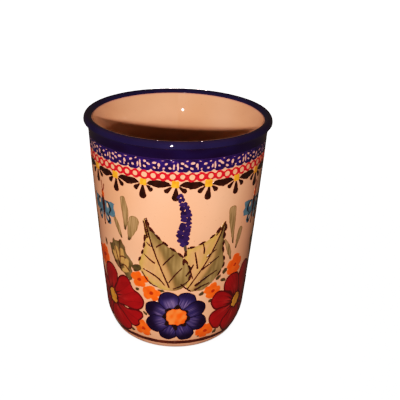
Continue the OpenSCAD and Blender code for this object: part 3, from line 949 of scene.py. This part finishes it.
# Outlines of the red flowers' petals, the lowest first. About half of these points follow
# values that a scratch tool printed from the photograph: see Known faults in report.md.
RED_LEFT = [
    curve((-52, 17.8), (-47, 16.8), (-42, 15.2), (-37.5, 12.6), (-37, 9.1), (-41.7, 6.4),
          (-47.3, 6.0), (-54, 6.6), (-60, 8.6), (-60.5, 13)),
    curve((-49, 18.6), (-40, 18.8), (-31, 19.9), (-26.6, 19.7), (-25.4, 17.4), (-28.9, 14.6),
          (-28.6, 12.8), (-31.5, 11), (-35.4, 10.8), (-39, 12.6), (-44, 15.4)),
    curve((-60, 19), (-66, 19), (-76, 19), (-84, 16.5), (-86, 12), (-80, 7.5), (-71, 6.5),
          (-64, 8.5), (-60.5, 13)),
    curve((-60.5, 24.5), (-65, 28), (-71, 32), (-78, 33.5), (-84, 31), (-86, 26), (-82, 21.5),
          (-74, 20), (-64, 20.5)),
    curve((-51.5, 26.5), (-48.6, 31), (-47.6, 35), (-50, 37.4), (-54, 38.9), (-58.9, 38.2),
          (-63, 36), (-65, 32), (-63, 28.6), (-58, 26)),
    curve((-50.3, 23.9), (-51, 27), (-47.5, 32), (-44, 35), (-39.8, 36.3), (-36.2, 35),
          (-33.6, 32), (-31.5, 30.3), (-28, 29.3), (-25, 27.4), (-23.9, 25), (-26, 21.8),
          (-30.4, 20.3), (-36, 19.9), (-44, 20.3), (-50, 20.8)),
]
RED_RIGHT = [
    curve((60, 18), (64.5, 14.5), (66, 9), (71, 5.5), (78, 6.5), (80.5, 11.5), (74, 15.5),
          (66, 18.5)),
    curve((53, 17.6), (46.8, 16.4), (41.3, 13.6), (39.8, 10.2), (43.8, 6.2), (51, 4.9),
          (60, 5.2), (65.5, 8), (63, 13), (58, 17)),
    curve((50, 19.2), (42, 20), (33, 19.8), (28.6, 18.4), (27.8, 15.2), (31.5, 11), (36.7, 9.4),
          (39.4, 10.8), (41, 13), (46, 16.2)),
    curve((62, 20.5), (68, 23.5), (76, 25.5), (83, 23.5), (85, 18.5), (80, 14.5), (71, 14.5),
          (64, 17.5)),
    curve((60, 23), (55.6, 28), (54.6, 32.5), (57, 37.2), (62.4, 39.4), (68.5, 37), (73.5, 31),
          (71.5, 26), (66, 23)),
    curve((53.3, 23.9), (47, 27), (40.5, 28.6), (38.6, 31), (39.5, 34), (42.9, 36), (47, 36.6),
          (52.5, 35.4), (55.6, 31.4), (55.6, 27)),
    curve((49, 21.6), (46, 25), (43.5, 27), (38.3, 29.2), (33.1, 29.7), (29.1, 27.6),
          (28.3, 24.6), (31.6, 20.8), (37.2, 20.3), (44, 20.6)),
]


def red_paint(petals, phi, z0, seed):
    def paint(layer):
        u, v = flower_xy(layer, phi, z0)
        rng = np.random.default_rng(seed)
        for k, outline in enumerate(petals):
            mid = np.mean(outline, axis=0)
            a = math.atan2(mid[1] - z0, mid[0] - phi * DEG)
            c, s = math.cos(a), math.sin(a)
            along, across = u * c + v * s, v * c - u * s
            d = inside(layer.x, layer.y, spline(outline, 5)) + 0.12 * noise(u, v, 3.2, seed + k)
            d = d + 0.35 + 1.1 * smooth(11, 4, np.hypot(u, v))
            hairs = streaks(along, across, 0.7, 9.0, seed + 20 + k)
            lumps = noise(u, v, 5, seed + 30 + k)
            rgb = mix(RED, RED * (0.78, 0.6, 0.7), 0.4 + 0.16 * hairs + 0.2 * lumps)
            for reach, share in ((5.6, 0.6), (8.5, 0.3)):
                off = rng.uniform(-1.8, 1.8)
                sheen = np.exp(-((along - reach) / 2.2) ** 2 - ((across - off) / 0.9) ** 2)
                rgb = mix(rgb, RED_SHEEN, share * sheen)
            for q in (-0.32, 0.02, 0.3):
                q = q + rng.uniform(-0.1, 0.1)
                end = 6.6 + rng.uniform(-1.8, 1.2)
                line = 0.36 * smooth(end + 1.5, end - 2.5, along) - np.abs(
                    across - q * along * 0.8 - 0.3 * np.sin(along * 0.5))
                rgb = mix(rgb, RED_DARK, 0.85 * smooth(-0.18, 0.1, line) * (along > 2))
            rgb = mix(rgb, RED_DARK, 0.95 * smooth(1.0, 0.5, d))
            layer.put(d, rgb)
        layer.put(4.2 - np.hypot(u, v), np.broadcast_to(RED_DARK, layer.rgb.shape))
        layer.tint(0.85 * smooth(4.6, 2.6, np.hypot(u, v)), RED_DARK)
    return paint


def blossom_paint(phi, z0, seed, size):
    def paint(layer):
        u, v = flower_xy(layer, phi, z0)
        rng = np.random.default_rng(seed)
        turn = rng.uniform(0, 72)
        best = np.full(u.shape, -9.0)
        for k in range(5):
            a = math.radians(72 * k + turn + rng.uniform(-9, 9))
            r0 = size * 0.52
            d = ellipse(u, v, r0 * math.cos(a), r0 * math.sin(a), size * rng.uniform(0.42, 0.62),
                        size * rng.uniform(0.4, 0.54), math.degrees(a), 2.6)
            best = np.maximum(best, d)
        best = np.maximum(best, size * 0.42 - np.hypot(u, v))
        d = best + 0.16 * noise(u, v, 1.4, seed + 1)
        t = 0.4 + 0.4 * noise(u, v, 1.8, seed + 2)
        rgb = mix(ORANGE, ORANGE_DEEP, np.clip(t, 0, 1))
        layer.put(d, mix(rgb, ORANGE_EDGE, 0.4 * smooth(0.35, 0.0, d)))
    return paint


def leaflet_paint(pts, widths, rgb_a, rgb_b, seed):
    """A single dab of thin colour that pools at its edge and darkens to its tip."""
    def paint(layer):
        x, z = layer.x, layer.y
        d, t = stroke(x, z, pts, widths)
        d = d + 0.08 * noise(x, z, 1.2, seed)
        hairs = streaks(z, x, 0.5, 7, seed + 1)
        rgb = mix(rgb_a, rgb_b, np.clip(0.22 + 0.3 * hairs + 0.3 * t, 0, 1))
        rgb = mix(rgb, rgb_b * 0.9, 0.5 * smooth(0.45, 0.05, d))
        layer.put(d, mix(rgb, GREEN_DARK, 0.85 * smooth(0.82, 0.97, t)))
    return paint


SPRIGS = [
    (((-36.2, 74.2), (-34.9, 67.4), (-35.6, 60.2)), (1.15, 1.6, 1.15, 0.5)),
    (((-44.8, 63.8), (-42.2, 60.0), (-39.6, 55.6)), (0.7, 1.1, 0.9, 0.45)),
    (((-28.4, 65.2), (-30.2, 61.5), (-33.0, 55.8)), (2.1, 2.2, 1.4, 0.6)),
    (((38.8, 69.6), (39.8, 62.4), (42.2, 53.0)), (1.7, 1.6, 0.85, 0.3)),
    (((48.8, 58.4), (47.4, 54.8), (45.8, 50.0)), (1.2, 1.35, 0.95, 0.4)),
    (((34.8, 55.6), (38.2, 51.4), (41.6, 45.2)), (0.5, 1.0, 0.95, 0.35)),
]
SIDE_LEAF = curve((-48.6, 53.4), (-46.0, 52.4), (-43.4, 53.0), (-40.2, 54.2), (-37.2, 51.4),
                  (-36.6, 48.6), (-33.6, 46.6), (-31.2, 44.2), (-32.6, 41.4), (-31.4, 38.0),
                  (-34.4, 35.2), (-38.4, 36.6), (-42.4, 38.0), (-47.0, 40.2), (-50.6, 43.4),
                  (-53.6, 49.4), (-50.4, 50.0))


def side_leaf_paint(layer):
    x, z = layer.x, layer.y
    d = inside(x, z, spline(SIDE_LEAF, 5)) + 0.25 * noise(x, z, 1.6, 301)
    rgb = mix(OLIVE * 0.8, OLIVE_DARK * 0.85, 0.5 + 0.4 * noise(x, z, 2.0, 302))
    for pts, w in ((((-46.0, 48.6), (-44.8, 44.0)), 1.2), (((-40.8, 48.4), (-41.4, 43.6)), 1.4),
                   (((-36.4, 44.4), (-37.6, 41.4)), 1.2), (((-49.2, 46.2), (-47.8, 43.2)), 0.8),
                   (((-36.2, 39.6), (-39.8, 39.0)), 0.9)):
        q, _ = stroke(x, z, curve(*pts), (w, w * 1.3, w * 1.1))
        rgb = mix(rgb, mix(OCHRE, OCHRE_YELLOW, 0.5), 0.9 * smooth(-0.25, 0.35, q))
    for pts in (((-41.6, 53.2), (-42.6, 46.0), (-43.6, 39.2)),
                ((-47.6, 50.6), (-45.0, 43.8), (-43.0, 39.2)),
                ((-43.2, 45.0), (-40.0, 45.9), (-37.4, 45.6)),
                ((-52.0, 47.4), (-47.4, 41.6), (-44.4, 38.4)),
                ((-42.8, 40.6), (-38.4, 41.8), (-34.6, 39.6))):
        q, _ = stroke(x, z, curve(*pts), (0.2, 0.36, 0.3))
        rgb = mix(rgb, LINE, 0.9 * smooth(-0.12, 0.14, q))
    layer.put(d, mix(rgb, GREEN_DARK, 0.55 * smooth(0.5, 0.05, d)))


# The places of the buds and of BLOSSOMS follow such printed values too.
BUDS = [(-28.6, 31.6, 1.0, 0.8, 10), (-10.4, 33.0, 1.5, 0.8, -8), (19.3, 31.0, 1.4, 0.9, 30),
        (32.0, 37.6, 1.6, 0.95, 35), (36.6, 35.4, 1.5, 0.9, -10), (26.8, 26.2, 1.2, 0.8, 60),
        (-28.2, 42.6, 2.5, 1.7, 30), (-21.0, 8.6, 1.2, 0.7, -30), (20.0, 7.6, 1.2, 0.7, 30),
        (-23.0, 19.6, 1.3, 0.7, -40), (-36.0, 8.2, 1.3, 0.9, 10), (37.3, 39.9, 1.5, 1.2, 50),
        (34.2, 7.8, 1.0, 1.3, -10)]


def bud_paint(phi, z0, a, b, deg, seed):
    def paint(layer):
        u, v = flower_xy(layer, phi, z0)
        d = ellipse(u, v, 0, 0, a, b, deg, 2.0) + 0.14 * noise(u, v, 0.9, seed)
        layer.put(d, mix(GREEN_DARK, OLIVE_DARK, 0.3 + 0.3 * noise(u, v, 1.2, seed + 1)))
    return paint


def place(key, phi0, phi, z, half, step, paint_of):
    w = half / DEG * MID_R / float(full_r(z))
    patch(key, phi0, (phi - w, phi + w, max(z - half, 3.4), z + half), step, paint_of(phi, z))


BLOSSOMS = [  # bearing, height, size
    (-26.6, 37.0, 4.05), (-17.8, 31.1, 4.05), (28.3, 31.2, 4.05), (47.1, 40.9, 5.1),
    (-25.6, 10.9, 4.05), (24.5, 10.1, 4.05),
]

for n, b in enumerate(BOUQUETS):
    rng = np.random.default_rng(400 + n)
    nudge = lambda a: 0.0 if n == 0 else rng.uniform(-a, a)
    s = 1000 * n
    patch("spikes", b, (-3, 13, 53, 82), 0.16, spike_paint(500 + n))
    patch("stems", b, (3, 10, 50, 58.5), 0.2, stem_paint)
    patch("light", b, (-30, -2, 32, 70), 0.27, leaf_paint(LEFT_LEAF, LEFT_RIB, True, 110))
    patch("dark", b, (-22, 12, 32, 70), 0.27, leaf_paint(LEFT_LEAF, LEFT_RIB, False, 120))
    patch("light", b, (3, 36, 31, 67), 0.27, right_leaf_left)
    patch("dark", b, (6, 38, 31, 67), 0.27, leaf_paint(RIGHT_LEAF, RIGHT_RIB, False, 140))
    patch("veins", b, (-29, 39, 31, 70), 0.2, vein_paint)
    place("blue", b, 1.3, 19.3, 15.2, 0.25, lambda p, z: blue_paint(p, z, 600 + n, nudge(12)))
    place("blue_mid", b, 1.3, 19.5, 6, 0.2, lambda p, z: disc_paint(
        p, z, 4.35, 4.2, 0, 2.6, HEART_PALE, HEART_ORANGE,
        620 + n, 0.22, 9, 0.2))
    for k, (p, z, size) in enumerate(BLOSSOMS):
        if n == 2 and k == 3:
            p += 8
        p, z = p + nudge(1.0), z + nudge(0.8)
        place("blossom", b, p, z, 1.2 * size, 0.2, lambda p, z: blossom_paint(
            p, z, 700 + s + 10 * k, size))
        place("blossom_mid", b, p + 0.3, z, 1.6, 0.15, lambda p, z: disc_paint(
            p, z, 0.95, 0.8, 20, 2.0, ORANGE_DARK, ORANGE_DARK * 0.85, 800 + s + k, 0.15))
    for k, (pts, widths) in enumerate(SPRIGS):
        dp, dz = nudge(1.0), nudge(1.2)
        pts = [(p + dp, z + dz) for p, z in pts]
        ps, zs = [p for p, _ in pts], [z for _, z in pts]
        patch("sprig", b, (min(ps) - 4.5, max(ps) + 4.5, min(zs) - 2.6, max(zs) + 2.6), 0.2,
              leaflet_paint(curve(*pts), [1.12 * w for w in widths], WASH, OLIVE_DARK,
                            900 + s + 10 * k))
    patch("side", b, (-56, -28, 33, 56), 0.2, side_leaf_paint)
    for k, (p, z, a_, b_, deg) in enumerate(BUDS):
        place("bud", b, p, z, 2.6, 0.2, lambda p, z: bud_paint(p, z, a_, b_, deg, 950 + s + 5 * k))

# ---------------------------------------------------------------- red flowers and butterflies
WING_MARK = np.array((20, 14, 16.0))


def butterfly_paint(phi, z0, lean, seed, wings):
    """Four wings, or the body with its head and feelers, round the middle of the body."""
    def paint(layer):
        u, v = flower_xy(layer, phi, z0)
        c, s = math.cos(math.radians(lean)), math.sin(math.radians(lean))
        u, v = (u * c - v * s) / 1.14, (v * c + u * s) / 1.14
        if not wings:
            body, t = stroke(u, v, [(0, 5.2), (0.1, 0.5), (-0.1, -6.2)],
                             (0.9, 1.15, 0.75, 0.5, 0.4))
            rgb = mix(INSECT_BROWN, INK, 0.4 + 0.3 * noise(u, v, 1.2, seed))
            layer.put(body + 0.1 * noise(u, v, 0.9, seed), rgb)
            head = ellipse(u, v, 0.2, 6.3, 0.9, 1.6, 8)
            layer.put(head, mix(HEAD_ORANGE, HEAD_RED, smooth(5.6, 4.6, v)))
            for pts in ([(0.1, 7.6), (0, 9.6), (-0.2, 11.4)],
                        [(0.5, 7.6), (1.2, 9.2), (1.5, 10.4)]):
                d, _ = stroke(u, v, pts, (0.28, 0.22, 0.3))
                layer.put(d, np.broadcast_to(FEELER, layer.rgb.shape))
            return
        for side in (1, -1):
            w = u * side
            up = inside(w, v, spline([(0.7, 3.6), (2.6, 4.2), (4.8, 4.6), (7.2, 4.4), (6.6, 2.4),
                                      (7.4, 0.8), (6.6, -1.2), (4.6, -1.6), (2.4, -0.8),
                                      (0.8, -0.4)], 5))
            dn = inside(w, v, spline([(0.7, -0.2), (2.8, -0.8), (4.4, -2.2), (4.6, -3.8),
                                      (3.2, -5.4), (1.8, -4.6), (1.0, -2.4)], 5))
            d = np.maximum(up, dn) + 0.18 * noise(u, v, 1.2, seed + side)
            rgb = mix(TEAL, TEAL * (0.72, 0.8, 0.86), 0.5 + 0.5 * noise(u, v, 1.5, seed + 2))
            for pts, wd in (
                    ([(2.2, 4.3), (4.0, 2.8), (4.6, 1.2), (3.6, -0.6)], (0.3, 0.5, 0.45, 0.25)),
                    ([(2.0, -1.0), (3.4, -2.4), (3.6, -3.8), (2.2, -4.9)],
                     (0.25, 0.42, 0.5, 0.35))):
                q, _ = stroke(w, v, pts, wd)
                rgb = mix(rgb, WING_MARK, smooth(-0.1, 0.12, q))
            for cx, cy, a_, b_ in ((2.9, 2.4, 0.55, 1.0), (2.5, -2.9, 0.4, 0.8)):
                rgb = mix(rgb, SPOT, smooth(-0.1, 0.12, ellipse(w, v, cx, cy, a_, b_, 12)))
            layer.put(d, mix(rgb, TEAL * 0.7, 0.45 * smooth(0.4, 0.05, d)))
    return paint


# Petals, the bearing they are turned by, the flower's own bearing and height, lean of its heart
RED_FLOWERS = [(RED_LEFT, 0, -56.4, 21.3, 20), (RED_RIGHT, 0, 55.4, 20.3, -24),
               (RED_RIGHT, 125, 55.4, 20.3, -10)]
BUTTERFLIES = [(-57.0, 65.0, 0), (62.6, 65.4, 1), (181.0, 65.4, 2)]

for n, (petals, turned_by, p, z, lean) in enumerate(RED_FLOWERS):
    patch("red", turned_by, (p - 33, p + 34, 4, 42), 0.27, red_paint(petals, p, z, 1000 + 50 * n))
    place("red_mid", turned_by, p, z, 4.8, 0.2, lambda q, zz: disc_paint(
        q, zz, 2.5, 3.5, lean, 2.5, HEART_YELLOW, HEART_OCHRE,
        1020 + n, 0.3))
for n, (p, z, lean) in enumerate(BUTTERFLIES):
    patch("wing", p, (-16, 16, z - 9, z + 8), 0.2, butterfly_paint(0, z, lean, 1200 + n, True))
    patch("insect", p, (-5, 5, z - 9, z + 14.6), 0.16, butterfly_paint(0, z, lean, 1220 + n, False))
place("blossom", 0, -62.5, 41.5, 4.9, 0.2, lambda p, z: blossom_paint(p, z, 1300, 4.0))
place("blossom_mid", 0, -62.2, 41.5, 1.6, 0.15, lambda p, z: disc_paint(
    p, z, 0.95, 0.8, 20, 2.0, ORANGE_DARK, ORANGE_DARK * 0.85, 1301, 0.15))
place("bud", 0, -58.3, 48.8, 2.6, 0.2, lambda p, z: bud_paint(p, z, 0.85, 1.7, 8, 1302))


def foot_paint(layer):
    x, z = layer.x, layer.y
    mid = BARE_H + 1.35 + 0.16 * noise(x, z * 0, 9, 71)
    depth = 1.15 + 0.18 * noise(x, z, 4, 72) - np.abs(z - mid)
    rgb = mix(FOOT_DARK, FOOT_BROWN, 0.35 + 0.4 * noise(x, z, 3, 73))
    layer.put(depth, rgb)


foot = Film(0.03)
foot.patch(0, 30.0, 0, 2 * math.pi * 30, BARE_H + 0.02, BARE_H + 3.2, 0.2, foot_paint, wrap=True)
foot.write("foot_line_paint", "brown_black_paint", ["foot_line"], paint_material("foot_line_paint"))

FINISHES = [
    ("spikes", "lavender_spikes_paint", "violet_paint", "lavender_spikes"),
    ("stems", "lavender_stems_paint", "dark_green_paint", "lavender_stems"),
    ("light", "leaf_light_halves_paint", "light_leaf_paint", "leaf_light_halves"),
    ("dark", "leaf_dark_halves_paint", "olive_paint", "leaf_dark_halves"),
    ("veins", "leaf_veins_paint", "brown_black_paint", "leaf_veins"),
    ("blue", "blue_petals_paint", "violet_paint", "blue_petals"),
    ("blue_mid", "blue_flower_centres_paint", "orange_paint", "blue_flower_centres"),
    ("red", "red_petals_paint", "red_paint", "red_petals"),
    ("red_mid", "red_flower_centres_paint", "yellow_paint", "red_flower_centres"),
    ("blossom", "blossom_petals_paint", "orange_paint", "blossom_petals"),
    ("blossom_mid", "blossom_centres_paint", "red_paint", "blossom_centres"),
    ("sprig", "sprigs_paint", "olive_paint", "sprigs"),
    ("side", "side_leaves_paint", "olive_paint", "side_leaves"),
    ("bud", "bud_leaves_paint", "dark_green_paint", "bud_leaves"),
    ("wing", "butterfly_wings_paint", "turquoise_paint", "butterfly_wings"),
    ("insect", "butterfly_bodies_paint", "brown_black_paint", "butterfly_bodies"),
]
for key, name, slot, node in FINISHES:
    films[key].write(name, slot, [node], paint_material(name))

# ---------------------------------------------------------------- studio
floor_mesh = bpy.data.meshes.new("studio_floor")
FLOOR = 2.5
floor_mesh.from_pydata([(-FLOOR, -FLOOR, 0), (FLOOR, -FLOOR, 0), (FLOOR, FLOOR, 0),
                        (-FLOOR, FLOOR, 0)],
                       [], [(0, 1, 2, 3)])
floor = bpy.data.objects.new("studio_floor", floor_mesh)
bpy.context.scene.collection.objects.link(floor)
floor_mat = bpy.data.materials.new("studio_floor")
floor_mat.use_nodes = True
floor_bsdf = floor_mat.node_tree.nodes["Principled BSDF"]
floor_bsdf.inputs["Base Color"].default_value = (0.9, 0.9, 0.9, 1)
floor_bsdf.inputs["Roughness"].default_value = 0.9
floor_bsdf.inputs["Specular IOR Level"].default_value = 0.1
floor_bsdf.inputs["Emission Color"].default_value = (1, 1, 1, 1)
floor_bsdf.inputs["Emission Strength"].default_value = 1.4
floor_mesh.materials.append(floor_mat)

scene = bpy.context.scene
world = scene.world or bpy.data.worlds.new("studio")
scene.world = world
world.use_nodes = True
wt = world.node_tree
wt.nodes.clear()
sky_out = wt.nodes.new("ShaderNodeOutputWorld")
sky_mix = wt.nodes.new("ShaderNodeMixShader")
ray = wt.nodes.new("ShaderNodeLightPath")
room, wall = wt.nodes.new("ShaderNodeBackground"), wt.nodes.new("ShaderNodeBackground")
room.inputs[0].default_value, room.inputs[1].default_value = (1.0, 0.66, 0.5, 1), 0.05
wall.inputs[0].default_value, wall.inputs[1].default_value = (1, 1, 1, 1), 1.6
wt.links.new(ray.outputs["Is Camera Ray"], sky_mix.inputs[0])
wt.links.new(room.outputs[0], sky_mix.inputs[1])
wt.links.new(wall.outputs[0], sky_mix.inputs[2])
wt.links.new(sky_mix.outputs[0], sky_out.inputs[0])

only_floor, no_floor = bpy.data.collections.new("lit_floor"), bpy.data.collections.new("lit_mug")
only_floor.objects.link(floor)
for piece in scene.collection.all_objects:
    if piece.type == "MESH" and piece is not floor:
        no_floor.objects.link(piece)
floor.visible_diffuse = floor.visible_glossy = False


def lamp(name, azimuth, elevation, distance, size, power, lit, colour=(1, 1, 1)):
    """A soft square lamp; azimuth 0 is in front of the mug, positive to its right."""
    a, e = math.radians(azimuth), math.radians(elevation)
    data = bpy.data.lights.new(name, "AREA")
    data.size, data.energy, data.color = size, power, colour
    obj = bpy.data.objects.new(name, data)
    away = Vector((math.sin(a) * math.cos(e), -math.cos(a) * math.cos(e), math.sin(e)))
    obj.location = Vector((0, 0, 0.06)) + away * distance
    obj.rotation_mode = "QUATERNION"
    obj.rotation_quaternion = away.to_track_quat("Z", "Y")
    scene.collection.objects.link(obj)
    obj.light_linking.receiver_collection = lit


WARM = (1.0, 0.67, 0.62)
lamp("key", -6.5, 19.5, 0.32, 0.010, 1.49, no_floor, WARM)
lamp("back", 180, 1, 0.45, 0.07, 2.0, no_floor, WARM)
lamp("sky", 0, 88, 1.5, 1.6, 20.0, only_floor)

cam_data = bpy.data.cameras.new("camera")
cam_data.lens, cam_data.sensor_width = 62.70, 36
cam_data.clip_start, cam_data.clip_end = 0.01, 20
camera = bpy.data.objects.new("camera", cam_data)
EYE = Vector((0, -0.2900, 0.1892))
TARGET = Vector((0.0105, 0, 0.0608))
ROLL = math.radians(1.89)
look = (TARGET - EYE).normalized()
quat = look.to_track_quat("-Z", "Y").to_matrix() @ Matrix.Rotation(ROLL, 3, "Z")
camera.matrix_world = Matrix.Translation(EYE) @ quat.to_4x4()
scene.collection.objects.link(camera)
scene.camera = camera

# Highlights roll off gently, as film does, where the lamp lights the glaze most.
look_of = scene.view_settings
look_of.view_transform = "Standard"
look_of.use_curve_mapping = True
curves = look_of.curve_mapping
curves.white_level = (2, 2, 2)
curves.extend = "HORIZONTAL"
for light, shown in ((0.45, 0.45), (0.6, 0.55), (0.8, 0.66), (1.0, 0.76), (1.2, 0.86), (1.4, 0.95),
                     (1.6, 1.0)):
    curves.curves[3].points.new(light / 2, shown)
curves.update()
